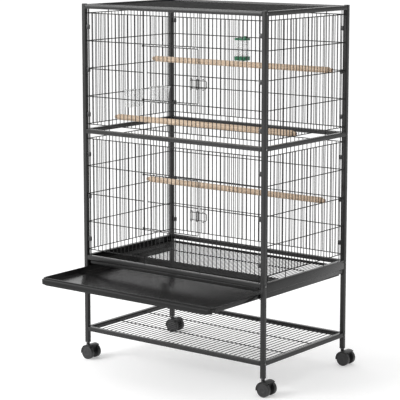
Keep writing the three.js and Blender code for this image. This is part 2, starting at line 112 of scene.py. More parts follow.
# Fittings
BOLT_RADIUS = 0.0036
BOLT_HEIGHT = 0.0024
CAP_HEIGHT = 0.0018  # how far a post's cap stands above the post
RING_RADIUS = 0.0078

# Studio
CAMERA_PLACE = (3.518, -4.640, 1.616)  # from the middle of the cage's footprint
CAMERA_TILT = 8.42
CAMERA_HEADING = 37.69
LENS = 144.9
LENS_SHIFT = -0.10
KEY_PLACE = (-2.4, -3.6, 2.4)
KEY_TARGET_HEIGHT = 0.7
KEY_SIZE = 2.2
KEY_POWER = 130
BRIGHT_SIDE = (-0.9, 0.15, 0.4)  # the direction that the sky is brightest in
DIM_SKY = 0.15
BRIGHT_SKY = 1.35
FLOOR_GLOW = 0.35

LOW_X, LOW_Y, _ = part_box("front_left_post")[0]
HIGH_X, HIGH_Y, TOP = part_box("back_right_post")[1]
MIDDLE_X = (LOW_X + HIGH_X) / 2
MIDDLE_Y = (LOW_Y + HIGH_Y) / 2
WIDE_SPAN = HIGH_X - LOW_X - 2 * TUBE - 2 * PANEL_EDGE
SIDE_SPAN = HIGH_Y - LOW_Y - 2 * TUBE - 2 * PANEL_EDGE
WIDE_PITCH = WIDE_SPAN / WIDE_GAPS
SIDE_PITCH = SIDE_SPAN / SIDE_GAPS
CROSS_BACK = THIN + CROSS - WELD
CORNERS = ("front_left", "front_right", "back_left", "back_right")
SIDES = ("front", "back", "left", "right")
MID_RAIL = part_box("mid_front_rail")
BASE_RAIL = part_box("base_front_rail")
TOP_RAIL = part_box("top_front_rail")


# ---------- handling ----------


def pick_only(*pieces):
    """Selects these pieces and nothing else."""
    bpy.ops.object.select_all(action="DESELECT")
    for piece in pieces:
        piece.select_set(True)
    bpy.context.view_layer.objects.active = pieces[0]


def settle(piece):
    """Puts a piece's place, turn and size into its mesh."""
    pick_only(piece)
    bpy.ops.object.transform_apply(location=True, rotation=True, scale=True)
    return piece


def turned(piece, degrees, place):
    """Turns a piece about the vertical and carries it to its place."""
    piece.rotation_euler = (0, 0, math.radians(degrees))
    piece.location = place
    return settle(piece)


def apply_modifier(piece, kind, **settings):
    pick_only(piece)
    modifier = piece.modifiers.new(kind.title(), kind)
    for key, value in settings.items():
        setattr(modifier, key, value)
    bpy.ops.object.modifier_apply(modifier=modifier.name)
    return piece


def round_edges(piece, width, segments, angle=30):
    limit = math.radians(angle)
    apply_modifier(piece, "BEVEL", width=width, segments=segments, limit_method="ANGLE", angle_limit=limit)


def soften(piece, width, segments=2, angle=30):
    """Rounds a piece's sharp edges and shades it smooth."""
    round_edges(piece, width, segments, angle)
    return smooth(piece)


def smooth(piece, angle=40):
    pick_only(piece)
    bpy.ops.object.shade_smooth_by_angle(angle=math.radians(angle))
    return piece


def repeat(piece, count, step):
    """Makes a row of copies, each one step further on."""
    if count > 1:
        apply_modifier(
            piece,
            "ARRAY",
            count=count,
            use_relative_offset=False,
            use_constant_offset=True,
            constant_offset_displace=step,
        )
    return piece


def joined(name, pieces):
    pick_only(*pieces)
    if len(pieces) > 1:
        bpy.ops.object.join()
    piece = bpy.context.view_layer.objects.active
    piece.name = name
    piece.data.name = name
    return piece


def copied(name, piece):
    """A copy with its own mesh."""
    pick_only(piece)
    bpy.ops.object.duplicate(linked=False)
    twin = bpy.context.view_layer.objects.active
    twin.name = name
    twin.data.name = name
    return twin


def edit(piece, mode="FACE"):
    pick_only(piece)
    bpy.ops.object.mode_set(mode="EDIT")
    bpy.ops.mesh.select_mode(type=mode)
    bpy.ops.mesh.select_all(action="DESELECT")


def done_editing():
    bpy.ops.object.mode_set(mode="OBJECT")


def select_faces(piece, wanted):
    """Selects the faces for which wanted(centre, normal) holds."""
    bpy.ops.object.mode_set(mode="OBJECT")
    for face in piece.data.polygons:
        face.select = wanted(face.center, face.normal)
    bpy.ops.object.mode_set(mode="EDIT")


def select_edges(piece, wanted):
    """Selects the edges for which wanted(one end, other end) holds."""
    bpy.ops.object.mode_set(mode="OBJECT")
    points = piece.data.vertices
    for face in piece.data.polygons:
        face.select = False
    for point in points:
        point.select = False
    for edge in piece.data.edges:
        edge.select = wanted(points[edge.vertices[0]].co, points[edge.vertices[1]].co)
    bpy.ops.object.mode_set(mode="EDIT")


def face_outwards(piece):
    edit(piece)
    bpy.ops.mesh.select_all(action="SELECT")
    bpy.ops.mesh.remove_doubles(threshold=0.00002)
    bpy.ops.mesh.normals_make_consistent(inside=False)
    done_editing()
    return piece


def merge_flats(piece):
    """Joins doubled corners, and faces that lie in one plane."""
    edit(piece)
    bpy.ops.mesh.select_all(action="SELECT")
    bpy.ops.mesh.remove_doubles(threshold=0.00002)
    bpy.ops.mesh.dissolve_limited(angle_limit=math.radians(1))
    done_editing()


def dress(piece, material, body, slot, *nodes):
    """Gives a piece its material, its body and the CAD nodes that it stands for, which it hides. The slot
    is not used.
    """
    piece.data.materials.clear()
    piece.data.materials.append(material)
    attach(piece, body)
    if nodes:
        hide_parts(*nodes)
    return piece


# ---------- basic pieces ----------


def block(low, high):
    """A box between two corners."""
    low, high = Vector(low), Vector(high)
    bpy.ops.object.select_all(action="DESELECT")
    bpy.ops.mesh.primitive_cube_add(size=1, location=(low + high) / 2)
    piece = bpy.context.object
    piece.scale = high - low
    return settle(piece)


def drum(centre, radius, depth, axis, sides=24):
    """A cylinder along X, Y or Z."""
    turn = {"X": (0, math.pi / 2, 0), "Y": (math.pi / 2, 0, 0), "Z": (0, 0, 0)}[axis]
    bpy.ops.object.select_all(action="DESELECT")
    bpy.ops.mesh.primitive_cylinder_add(
        vertices=sides, radius=radius, depth=depth, location=centre, rotation=turn
    )
    return settle(bpy.context.object)


def wire(start, end, radius, sides=WIRE_SIDES):
    """A straight round wire with domed tips."""
    start, end = Vector(start), Vector(end)
    run = end - start
    bpy.ops.object.select_all(action="DESELECT")
    bpy.ops.mesh.primitive_cylinder_add(
        vertices=sides,
        radius=radius,
        depth=run.length - radius,
        location=(start + end) / 2,
        rotation=run.to_track_quat("Z", "Y").to_euler(),
    )
    piece = settle(bpy.context.object)
    along = run.normalized()
    edit(piece)
    select_faces(piece, lambda centre, normal: abs(normal.dot(along)) > 0.9)
    bpy.ops.mesh.inset(thickness=radius * 0.45, depth=radius * 0.5, use_individual=True)
    done_editing()
    return smooth(piece)


def wire_loop(width, height, corner, radius):
    """A closed loop of wire with rounded corners, centred on the origin in the XZ plane."""
    bpy.ops.object.select_all(action="DESELECT")
    bpy.ops.mesh.primitive_plane_add(size=1, rotation=(math.pi / 2, 0, 0))
    piece = bpy.context.object
    piece.scale = (width, height, 1)
    settle(piece)
    edit(piece, "VERT")
    bpy.ops.mesh.select_all(action="SELECT")
    bpy.ops.mesh.bevel(offset=corner, offset_type="OFFSET", segments=5, affect="VERTICES")
    bpy.ops.mesh.select_all(action="SELECT")
    bpy.ops.mesh.delete(type="ONLY_FACE")
    done_editing()
    pick_only(piece)
    bpy.ops.object.convert(target="CURVE")
    piece = bpy.context.view_layer.objects.active
    piece.data.bevel_depth = radius
    piece.data.bevel_resolution = 2
    bpy.ops.object.convert(target="MESH")
    return smooth(bpy.context.view_layer.objects.active, 60)


def square_tube(name, node):
    """A rolled square tube with rounded corners and open ends, in the place of a CAD tube."""
    low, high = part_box(node)
    size = Vector(high) - Vector(low)
    along = max(range(3), key=lambda axis: size[axis])
    piece = block(low, high)
    edit(piece, "EDGE")
    select_edges(piece, lambda a, b: abs(abs((a - b)[along]) - size[along]) < 0.0001)
    bpy.ops.mesh.bevel(offset=TUBE_CORNER, segments=3, affect="EDGES")
    done_editing()
    edit(piece)
    select_faces(piece, lambda centre, normal: abs(normal[along]) > 0.9)
    bpy.ops.mesh.inset(thickness=TUBE_WALL, use_individual=True)
    bpy.ops.mesh.inset(thickness=0, depth=-0.02, use_individual=True)
    done_editing()
    smooth(piece)
    return joined(name, [piece])


# ---------- materials ----------


class Surface:
    """A procedural material on object coordinates, with the shader and a short way to add nodes."""

    def __init__(self, name, roughness, metallic=0.0):
        self.material = bpy.data.materials.new(name)
        self.material.use_nodes = True
        self.nodes = self.material.node_tree.nodes
        self.links = self.material.node_tree.links
        self.shader = self.nodes["Principled BSDF"]
        self.shader.inputs["Roughness"].default_value = roughness
        self.shader.inputs["Metallic"].default_value = metallic
        self.place = self.nodes.new("ShaderNodeTexCoord").outputs["Object"]

    def stretched(self, scale):
        mapping = self.nodes.new("ShaderNodeMapping")
        mapping.inputs["Scale"].default_value = scale
        self.links.new(self.place, mapping.inputs["Vector"])
        return mapping.outputs["Vector"]

    def noise(self, scale, detail=2.0, vector=None):
        texture = self.nodes.new("ShaderNodeTexNoise")
        texture.inputs["Scale"].default_value = scale
        texture.inputs["Detail"].default_value = detail
        self.links.new(vector or self.place, texture.inputs["Vector"])
        return texture.outputs["Fac"]

    def ramp(self, value, stops):
        ramp = self.nodes.new("ShaderNodeValToRGB")
        ends = ramp.color_ramp.elements
        for index, (at, colour) in enumerate(stops):
            stop = ends[index] if index < 2 else ends.new(at)
            stop.position = at
            stop.color = (*colour, 1)
        self.links.new(value, ramp.inputs["Fac"])
        return ramp.outputs["Color"]

    def mottle(self, value, dark, light):
        """Colours the surface from a dark tone to a light one as the value rises."""
        self.colour(self.ramp(value, [(0.3, dark), (0.7, light)]))

    def span(self, value, low, high):
        """Carries a value from 0..1 to low..high."""
        node = self.nodes.new("ShaderNodeMapRange")
        node.inputs["To Min"].default_value = low
        node.inputs["To Max"].default_value = high
        self.links.new(value, node.inputs["Value"])
        return node.outputs["Result"]

    def colour(self, value):
        self.links.new(value, self.shader.inputs["Base Color"])

    def roughness(self, value):
        self.links.new(value, self.shader.inputs["Roughness"])

    def bump(self, value, strength, distance):
        bump = self.nodes.new("ShaderNodeBump")
        bump.inputs["Strength"].default_value = strength
        bump.inputs["Distance"].default_value = distance
        self.links.new(value, bump.inputs["Height"])
        self.links.new(bump.outputs["Normal"], self.shader.inputs["Normal"])


def powder_coat():
    """Charcoal powder coat with a fine orange-peel grain."""
    surface = Surface("charcoal_powder_coat", 0.25)
    surface.shader.inputs["Specular IOR Level"].default_value = 0.3
    cloud = surface.noise(14, 3)
    surface.mottle(cloud, (0.018, 0.018, 0.018), (0.026, 0.026, 0.026))
    grain = surface.noise(1400, 1)
    surface.roughness(surface.span(grain, 0.2, 0.3))
    surface.bump(grain, 0.08, 0.0002)
    return surface.material


def coated_wire():
    surface = Surface("charcoal_coated_wire", 0.45)
    surface.shader.inputs["Specular IOR Level"].default_value = 0.15
    surface.mottle(surface.noise(40, 2), (0.016, 0.016, 0.016), (0.024, 0.024, 0.024))
    return surface.material


def tray_plastic():
    """Dark glossy sheet with faint long streaks."""
    surface = Surface("glossy_tray_plastic", 0.3)
    streaks = surface.noise(12, 3, surface.stretched((0.4, 5, 1)))
    surface.mottle(streaks, (0.011, 0.011, 0.011), (0.017, 0.017, 0.017))
    surface.roughness(surface.span(streaks, 0.14, 0.22))
    surface.shader.inputs["Specular IOR Level"].default_value = 0.18
    surface.bump(surface.noise(5, 1), 0.03, 0.002)
    return surface.material


def perch_wood():
    """Pale dowel with grain along its length."""
    surface = Surface("perch_wood", 0.6)
    grain = surface.noise(30, 6, surface.stretched((0.35, 9, 9)))
    stops = [(0.25, (0.45, 0.32, 0.21)), (0.5, (0.62, 0.47, 0.34)), (0.8, (0.74, 0.60, 0.46))]
    surface.colour(surface.ramp(grain, stops))
    surface.roughness(surface.span(grain, 0.5, 0.72))
    surface.bump(grain, 0.3, 0.0005)
    return surface.material


def end_grain_and_painted_shade():
    """The sawn end of a dowel, painted dark: partly darker end grain, mostly painted shade."""
    surface = Surface("sawn_end_grain_and_painted_shade", 0.7)
    # painted shade: the end faces are coloured far darker than the dowel's wood, as if in shadow
    surface.mottle(surface.noise(260, 3), (0.07, 0.04, 0.026), (0.15, 0.09, 0.058))
    return surface.material


def clear_plastic():
    surface = Surface("clear_plastic", 0.08)
    surface.mottle(surface.noise(20, 2), (0.94, 0.95, 0.95), (0.97, 0.98, 0.98))
    surface.shader.inputs["Alpha"].default_value = 0.22
    surface.shader.inputs["IOR"].default_value = 1.5
    return surface.material


def green_plastic():
    surface = Surface("green_plastic", 0.35)
    surface.mottle(surface.noise(50, 2), (0.006, 0.12, 0.055), (0.012, 0.17, 0.08))
    return surface.material


def black_plastic():
    surface = Surface("black_moulded_plastic", 0.42)
    grain = surface.noise(700, 2)
    surface.mottle(surface.noise(60, 2), (0.012, 0.012, 0.013), (0.02, 0.02, 0.021))
    surface.roughness(surface.span(grain, 0.34, 0.5))
    surface.bump(grain, 0.15, 0.0003)
    return surface.material


def zinc():
    surface = Surface("zinc_plate", 0.35, 1.0)
    surface.mottle(surface.noise(300, 2), (0.22, 0.22, 0.22), (0.34, 0.34, 0.345))
    return surface.material


COAT = powder_coat()
WIRE = coated_wire()
TRAY = tray_plastic()
WOOD = perch_wood()
END_GRAIN_AND_SHADE = end_grain_and_painted_shade()
CLEAR = clear_plastic()
GREEN = green_plastic()
BLACK = black_plastic()
ZINC = zinc()


# ---------- tubes and sheet ----------


def frame_tubes():
    nodes = [f"{corner}_post" for corner in CORNERS]
    nodes += [f"{level}_{side}_rail" for level in ("top", "mid", "shelf") for side in SIDES]
    nodes += ["base_front_rail", "base_back_rail"]
    for node in nodes:
        dress(square_tube(node + "_tube", node), COAT, "cage", "steel", node)


def aprons():
    """Each folded apron keeps its CAD shape and gains rolled bends."""
    for side in ("left", "right"):
        node = f"{side}_apron"
        piece = copied(node + "_sheet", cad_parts[node])
        merge_flats(piece)
        soften(piece, 0.0006)
        dress(piece, COAT, "cage", "steel", node)


def post_caps():
    """A low plastic cap closes each post's top."""
    caps = []
    for corner in CORNERS:
        low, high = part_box(f"{corner}_post")
        foot = (low[0] + 0.0004, low[1] + 0.0004, TOP - 0.001)
        crown = (high[0] - 0.0004, high[1] - 0.0004, TOP + CAP_HEIGHT)
        cap = block(foot, crown)
        edit(cap)
        select_faces(cap, lambda centre, normal: normal.z > 0.9)
        bpy.ops.mesh.inset(thickness=0.003, depth=0.0006)
        done_editing()
        caps.append(soften(cap, 0.0008))
    dress(joined("post_caps", caps), BLACK, "cage", "caster_plastic")


def rail_bolts():
    """Domed bolt heads on the posts' outer sides, one at each end of every wide rail."""
    heads = []
    rails = [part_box(f"{level}_front_rail") for level in ("top", "mid", "base", "shelf")]
    heights = [(low[2] + high[2]) / 2 for low, high in rails]
    for x, out in ((LOW_X, -1), (HIGH_X, 1)):
        for y in (LOW_Y + TUBE / 2, HIGH_Y - TUBE / 2):
            for z in heights:
                head = drum((x + out * BOLT_HEIGHT / 2, y, z), BOLT_RADIUS, BOLT_HEIGHT, "X", 16)
                edit(head)
                select_faces(head, lambda centre, normal, out=out: normal.x * out > 0.9)
                bpy.ops.mesh.inset(thickness=0.0012, depth=0.0007)
                bpy.ops.mesh.inset(thickness=0.0007)
                bpy.ops.mesh.inset(thickness=0.0002, depth=-0.0008)
                done_editing()
                heads.append(smooth(head, 50))
    dress(joined("rail_bolts", heads), ZINC, "cage", "steel")


# ---------- wire walls ----------


def uprights(first, last, pitch, span, low, high):
    """A run of thin uprights, from one numbered place to another."""
    x = first * pitch - span / 2
    return repeat(wire((x, 0, low), (x, 0, high), THIN), last - first + 1, (pitch, 0, 0))


def wall_frame(span, gaps, thick, floor, ceiling):
    """The thick uprights that reach the tubes above and below."""
    places = [index * span / gaps - span / 2 for index in thick]
    return [wire((x, 0, floor), (x, 0, ceiling), THICK) for x in places]


def cross_wire(row, start, end):
    return wire((start, CROSS_BACK, row), (end, CROSS_BACK, row), CROSS)


def wall(name, span, gaps, thick, rows, floor, ceiling):
    """A welded wall in the XZ plane, its cross wires on the inner side at +Y."""
    end = span / 2 + PANEL_EDGE
    pieces = wall_frame(span, gaps, thick, floor, ceiling)
    pieces += [cross_wire(row, -end, end) for row in rows]
    for first, last in zip(thick, thick[1:]):
        pieces.append(uprights(first + 1, last - 1, span / gaps, span, rows[0], rows[-1]))
    return joined(name, pieces)


def latch_height(level):
    low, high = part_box(f"{level}_latch")
    return (low[2] + high[2]) / 2


def front_wall(level, rows, floor, ceiling):
    """A wall with a doorway between its two middle thick uprights."""
    end = WIDE_SPAN / 2 + PANEL_EDGE
    jamb = WIDE_SPAN / 6
    bottom, low, middle, high, top = rows
    pieces = wall_frame(WIDE_SPAN, WIDE_GAPS, WIDE_THICK, floor, ceiling)
    pieces += [cross_wire(row, -end, end) for row in (bottom, low, high, top)]
    pieces += [cross_wire(middle, -end, -jamb), cross_wire(middle, jamb, end)]
    pieces.append(uprights(1, 13, WIDE_PITCH, WIDE_SPAN, bottom, top))
    pieces.append(uprights(15, 27, WIDE_PITCH, WIDE_SPAN, bottom, low))
    pieces.append(uprights(15, 27, WIDE_PITCH, WIDE_SPAN, high, top))
    pieces.append(uprights(29, 41, WIDE_PITCH, WIDE_SPAN, bottom, top))
    x = 29 * WIDE_PITCH - WIDE_SPAN / 2
    for z in (latch_height(level) - STAPLE_ARM, latch_height(level) + STAPLE_ARM):
        pieces.append(wire((x, 0, z), (x, -0.0096, z), LATCH_WIRE))
    return joined(f"{level}_front_wall", pieces)


def walls():
    plane_x = (LOW_X + TUBE / 2, HIGH_X - TUBE / 2)
    plane_y = (LOW_Y + TUBE / 2, HIGH_Y - TUBE / 2)
    levels = (
        ("upper", UPPER_ROWS, MID_RAIL[1][2], TOP_RAIL[0][2]),
        ("lower", LOWER_ROWS, BASE_RAIL[1][2], MID_RAIL[0][2]),
    )
    for level, rows, floor, ceiling in levels:
        front = turned(front_wall(level, rows, floor, ceiling), 0, (MIDDLE_X, plane_y[0], 0))
        dress(front, WIRE, "cage", "steel", f"{level}_front_left_panel", f"{level}_front_right_panel")
        back = wall(f"{level}_back_wall", WIDE_SPAN, WIDE_GAPS, WIDE_THICK, rows, floor, ceiling)
        turned(back, 180, (MIDDLE_X, plane_y[1], 0))
        dress(back, WIRE, "cage", "steel", f"{level}_back_panel")
        for side, x, turn in (("left", plane_x[0], -90), ("right", plane_x[1], 90)):
            piece = wall(f"{level}_{side}_wall", SIDE_SPAN, SIDE_GAPS, SIDE_THICK, rows, floor, ceiling)
            turned(piece, turn, (x, MIDDLE_Y, 0))
            dress(piece, WIRE, "cage", "steel", f"{level}_{side}_panel")


def roof():
    """The roof is a wall laid flat, its cross wires underneath."""
    rows = [share * SIDE_SPAN / 4 - SIDE_SPAN / 2 for share in range(5)]
    reach = SIDE_SPAN / 2 + PANEL_EDGE
    piece = wall("roof_wires", WIDE_SPAN, WIDE_GAPS, WIDE_THICK, rows, -reach, reach)
    piece.rotation_euler = (-math.pi / 2, 0, 0)
    piece.location = (MIDDLE_X, MIDDLE_Y, TOP - TUBE / 2)
    settle(piece)
    dress(piece, WIRE, "cage", "steel", "roof_panel")


def panel_clips():
    """Black clips that hold the front and back walls' edge uprights to the posts."""
    clips = []
    for z in UPPER_CLIPS + LOWER_CLIPS:
        for x, turn in ((LOW_X + TUBE, 0), (HIGH_X - TUBE, 180)):
            for y in (LOW_Y + TUBE / 2, HIGH_Y - TUBE / 2):
                clips.append(clip((x, y, z), turn))
    dress(joined("panel_clips", clips), BLACK, "cage", "caster_plastic")


def clip(place, turn):
    """One clip, from a post's inner side to just past the wall's edge upright."""
    reach = PANEL_EDGE + 0.0015
    piece = block((0, -0.004, -0.008), (reach, 0.004, 0.008))
    edit(piece)
    select_faces(piece, lambda centre, normal: normal.x > 0.9)
    bpy.ops.mesh.inset(thickness=0.0012, depth=0.0012)
    done_editing()
    soften(piece, 0.001)
    return turned(piece, turn, place)


# ---------- doors ----------


def door(level, rows):
    low, high = rows[1] + DOOR_GAP, rows[3] - DOOR_GAP
    place = lambda index: index * WIDE_PITCH - WIDE_SPAN / 2
    left = place(15)
    right = place(28) - 0.008
    hinge = place(14)
    loop = wire_loop(right - left, high - low, DOOR_CORNER, CROSS)
    pieces = [turned(loop, 0, ((left + right) / 2, 0, (low + high) / 2))]
    pieces.append(repeat(wire((place(16), 0, low), (place(16), 0, high), THIN), 12, (WIDE_PITCH, 0, 0)))
    pieces.append(cross_wire(rows[2], left, right))
    for z in (low, high):
        pieces.append(wire((hinge + 0.0044, 0, z), (left, 0, z), CROSS))
        for step in (-1, 0, 1):
            pieces.append(hinge_coil((hinge, 0, z + step * COIL_STEP)))
    for x in (right, place(26)):
        staple = wire_loop(STAPLE_WIDTH, 2 * STAPLE_ARM, 0.003, LATCH_WIRE)
        pieces.append(turned(staple, 90, (x, -0.0026, latch_height(level))))
    piece = turned(joined(f"{level}_door_wires", pieces), 0, (MIDDLE_X, LOW_Y + TUBE / 2, 0))
    dress(piece, WIRE, f"{level}_door", "steel", f"{level}_door")


def hinge_coil(place):
    """One turn of the door's wire round the wall's thick upright."""
    bpy.ops.object.select_all(action="DESELECT")
    bpy.ops.mesh.primitive_torus_add(
        location=place,
        major_radius=COIL_RADIUS,
        minor_radius=COIL_WIRE,
        major_segments=20,
        minor_segments=8,
    )
    return smooth(settle(bpy.context.object), 60)


def latch(level):
    low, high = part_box(f"{level}_latch")
    width = high[0] - low[0] - 0.003
    height = high[2] - low[2] - 0.003
    loop = wire_loop(width, height, 0.006, LATCH_WIRE)
    piece = turned(loop, 0, [(a + b) / 2 for a, b in zip(low, high)])
    dress(joined(f"{level}_latch_loop", [piece]), WIRE, f"{level}_latch", "steel", f"{level}_latch")


# ---------- floor parts ----------


def grate():
    """The floor grate: thin rods front to back, two cross wires over them, and a flat bar at each end."""
    low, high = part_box("floor_grate")
    plane = low[2] + 0.007
    pitch = (high[0] - low[0]) / GRATE_GAPS
    front, back = low[1] + 0.002, high[1] - 0.002
    rods = wire((low[0] + pitch, front, plane), (low[0] + pitch, back, plane), THIN)
    pieces = [repeat(rods, GRATE_GAPS - 1, (pitch, 0, 0))]
    for x in (low[0] + CROSS, high[0] - CROSS):
        pieces.append(wire((x, front, plane), (x, back, plane), CROSS))
    sixth = (HIGH_Y - LOW_Y - 2 * TUBE) / 6
    for y in (MIDDLE_Y - sixth, MIDDLE_Y + sixth):
        z = plane + THIN + CROSS - WELD
        pieces.append(wire((low[0] + 0.001, y, z), (high[0] - 0.001, y, z), CROSS))
    bar = block((low[0], low[1], low[2]), (high[0], low[1] + BAR_SHEET, low[2] + BAR_HEIGHT))
    edit(bar, "EDGE")
    select_edges(bar, lambda a, b: abs(a.y - b.y) > 0.002 and (a.z + b.z) / 2 < low[2] + 0.001)
    bpy.ops.mesh.bevel(offset=0.004, segments=3, affect="EDGES")
    done_editing()
    pieces.append(soften(bar, 0.0008))
    back_low = (low[0] + 0.005, high[1] - BAR_SHEET, low[2])
    back_high = (high[0] - 0.005, high[1], low[2] + BAR_HEIGHT)
    pieces.append(soften(block(back_low, back_high), 0.0008))
    dress(joined("grate_rods", pieces), WIRE, "floor_grate", "steel", "floor_grate")


def shelf():
    low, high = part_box("shelf_wires")
    plane = high[2] - CROSS
    pitch = (high[0] - low[0] + 0.0006) / SHELF_GAPS
    x = low[0] - 0.0003 + pitch
    rods = wire((x, low[1], plane), (x, high[1], plane), THIN + 0.0001)
    pieces = [repeat(rods, SHELF_GAPS - 1, (pitch, 0, 0))]
    sixth = (high[1] - low[1]) / 6
    for y in (MIDDLE_Y - sixth, MIDDLE_Y + sixth):
        z = plane - THIN - CROSS + WELD
        pieces.append(wire((low[0], y, z), (high[0], y, z), CROSS))
    dress(joined("shelf_rods", pieces), WIRE, "cage", "steel", "shelf_wires")


def tray():
    """A shallow pan with steep walls, a narrow turned-down rim and a pull lip along the front."""
    low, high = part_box("tray")
    front, back = low[1] + LIP_REACH, high[1]
    inset = sum(out for out, _ in TRAY_STEPS)
    floor_z = high[2] - TRAY_DEPTH
    middle = ((low[0] + high[0]) / 2, (front + back) / 2, floor_z)
    width, depth = high[0] - low[0] - 2 * inset, back - front - 2 * inset
    bpy.ops.object.select_all(action="DESELECT")
    bpy.ops.mesh.primitive_plane_add(size=1, location=middle)
    piece = bpy.context.object
    piece.scale = (width, depth, 1)
    settle(piece)
    edit(piece, "VERT")
    bpy.ops.mesh.select_all(action="SELECT")
    bpy.ops.mesh.bevel(offset=TRAY_CORNER, offset_type="OFFSET", segments=6, affect="VERTICES")
    done_editing()
    edit(piece, "EDGE")
    bpy.ops.mesh.select_all(action="SELECT")
    for out, up in TRAY_STEPS:
        bpy.ops.mesh.extrude_edges_move(TRANSFORM_OT_translate={"value": (0, 0, up)})
        size = ((width + 2 * out) / width, (depth + 2 * out) / depth, 1)
        bpy.ops.transform.resize(value=size, center_override=middle)
        width, depth = width + 2 * out, depth + 2 * out
    done_editing()
    pull_lip(piece, front, middle)
    face_outwards(piece)
    apply_modifier(piece, "SOLIDIFY", thickness=TRAY_SHEET, offset=-1)
    face_outwards(piece)
    soften(piece, 0.0005, 2, 35)
    dress(joined("tray_pan", [piece]), TRAY, "tray", "tray_plastic", "tray")


def pull_lip(piece, front, middle):
    """The rim's front edge runs on outwards, turns down, and ends in a hem that is shorter than the lip."""
    edge_z = min(point.co.z for point in piece.data.vertices if point.co.y < front + 0.0001)
    in_lip = lambda point: point.y < front + 0.017 and abs(point.z - edge_z) < 0.0002
    edit(piece, "EDGE")
    select_edges(piece, lambda a, b: in_lip(a) and in_lip(b))
    for out, down, narrower in LIP_STEPS:
        bpy.ops.mesh.extrude_edges_move(TRANSFORM_OT_translate={"value": (0, -out, -down)})
        bpy.ops.transform.resize(value=(narrower, 1, 1), center_override=middle)
    done_editing()


# ---------- perches and feeders ----------


def perches():
    """Dowels whose narrower ends pass between two uprights and rest on a cross wire."""
    for level in ("upper", "middle", "lower"):
        node = f"{level}_perch"
        low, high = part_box(node)
        centre = [(a + b) / 2 for a, b in zip(low, high)]
        length = high[0] - low[0]
        dowel = soften(drum(centre, (high[2] - low[2]) / 2, length - 2 * TENON_LENGTH, "X", 28), 0.0012)
        tenons = soften(drum(centre, PERCH_TENON, length, "X", 28), 0.001)
        dress(joined(f"{level}_dowel", [dowel, tenons]), WOOD, "cage", "perch_wood", node)
        # Thin end caps coloured dark: partly end grain, mostly painted shade on the dowel ends
        caps = []
        for x, out in ((low[0], -1), (high[0], 1)):
            cap = drum((x + out * 0.0003, centre[1], centre[2]), PERCH_TENON - 0.0006, 0.0012, "X", 28)
            caps.append(soften(cap, 0.0004))
        dress(joined(f"{level}_perch_ends", caps), END_GRAIN_AND_SHADE, "cage", "perch_wood")


def open_box(low, high, wall_thickness, corner, taper=0.0):
    """An open-topped moulded box. Its front is narrower at the foot by the taper."""
    piece = block(low, high)
    edit(piece)
    select_faces(piece, lambda centre, normal: normal.z > 0.9)
    bpy.ops.mesh.delete(type="FACE")
    done_editing()
    if taper:
        edit(piece, "EDGE")
        at_front = lambda point: point.x > high[0] - 0.001 and point.z < low[2] + 0.001
        select_edges(piece, lambda a, b: at_front(a) and at_front(b))
        bpy.ops.transform.translate(value=(-taper, 0, 0))
        done_editing()
    round_edges(piece, corner, 4)
    apply_modifier(piece, "SOLIDIFY", thickness=wall_thickness, offset=-1)
    return smooth(piece)


def feeder_cups():
    """Clear cups with a sloping front and a rolled rim, hung on the left wall."""
    for node in ("front_feeder_cup", "back_feeder_cup"):
        low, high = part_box(node)
        back = LOW_X + TUBE / 2 + 0.0052
        cup = open_box((back, low[1], low[2]), high, CUP_WALL, 0.006, CUP_TAPER)
        rim = wire_loop(high[0] - back - 0.001, high[1] - low[1] - 0.001, 0.007, 0.0013)
        rim.rotation_euler = (math.pi / 2, 0, 0)
        middle = (low[1] + high[1]) / 2
        rim.location = ((back + high[0]) / 2, middle, high[2] - 0.001)
        pieces = [cup, settle(rim)]
        row = UPPER_ROWS[1]
        for y in (middle - 1.5 * SIDE_PITCH, middle + 1.5 * SIDE_PITCH):
            bridge = block((low[0], y - 0.005, row + 0.0022), (back + 0.001, y + 0.005, row + 0.0042))
            tongue = block((low[0], y - 0.005, row - 0.006), (low[0] + 0.0018, y + 0.005, row + 0.004))
            pieces += [soften(bridge, 0.0005), soften(tongue, 0.0005)]
        dress(joined(node + "_shell", pieces), CLEAR, "cage", "clear_plastic", node)


def seed_hopper():
    """A clear bin in a green base, with a green clip over the back wall's cross wire."""
    low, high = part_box("seed_hopper_bin")
    bin_shell = block(low, high)
    edit(bin_shell)
    select_faces(bin_shell, lambda centre, normal: abs(normal.z) > 0.9)
    bpy.ops.mesh.delete(type="FACE")
    done_editing()
    round_edges(bin_shell, 0.004, 3)
    apply_modifier(bin_shell, "SOLIDIFY", thickness=BIN_WALL, offset=-1)
    shell = joined("hopper_bin_shell", [smooth(bin_shell)])
    dress(shell, CLEAR, "cage", "clear_plastic", "seed_hopper_bin")
    low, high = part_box("seed_hopper_base")
    base = open_box(low, high, 0.002, 0.003)
    dress(joined("hopper_base_tub", [base]), GREEN, "cage", "green_plastic", "seed_hopper_base")
    clip_piece = copied("hopper_clip_moulding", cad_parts["seed_hopper_clip"])
    merge_flats(clip_piece)
    soften(clip_piece, 0.0005)
    dress(clip_piece, GREEN, "cage", "green_plastic", "seed_hopper_clip")


# ---------- casters ----------


def wheel():
    """One wheel centred on the origin, facing -Y: a rounded tread, a rim step and a hub cap."""
    piece = drum((0, 0, 0), WHEEL_RADIUS - 0.0001, WHEEL_WIDTH, "Y", 40)
    edit(piece)
    select_faces(piece, lambda centre, normal: abs(normal.y) > 0.9)
    bpy.ops.mesh.inset(thickness=0.0035, depth=0, use_individual=True)
    bpy.ops.mesh.inset(thickness=0.0006, depth=-0.001, use_individual=True)
    bpy.ops.mesh.inset(thickness=0.006, depth=0.0008, use_individual=True)
    bpy.ops.mesh.inset(thickness=0.006, depth=0.0006, use_individual=True)
    bpy.ops.mesh.inset(thickness=0.0006, depth=-0.0008, use_individual=True)
    done_editing()
    return soften(piece, 0.0012, 3, 50)


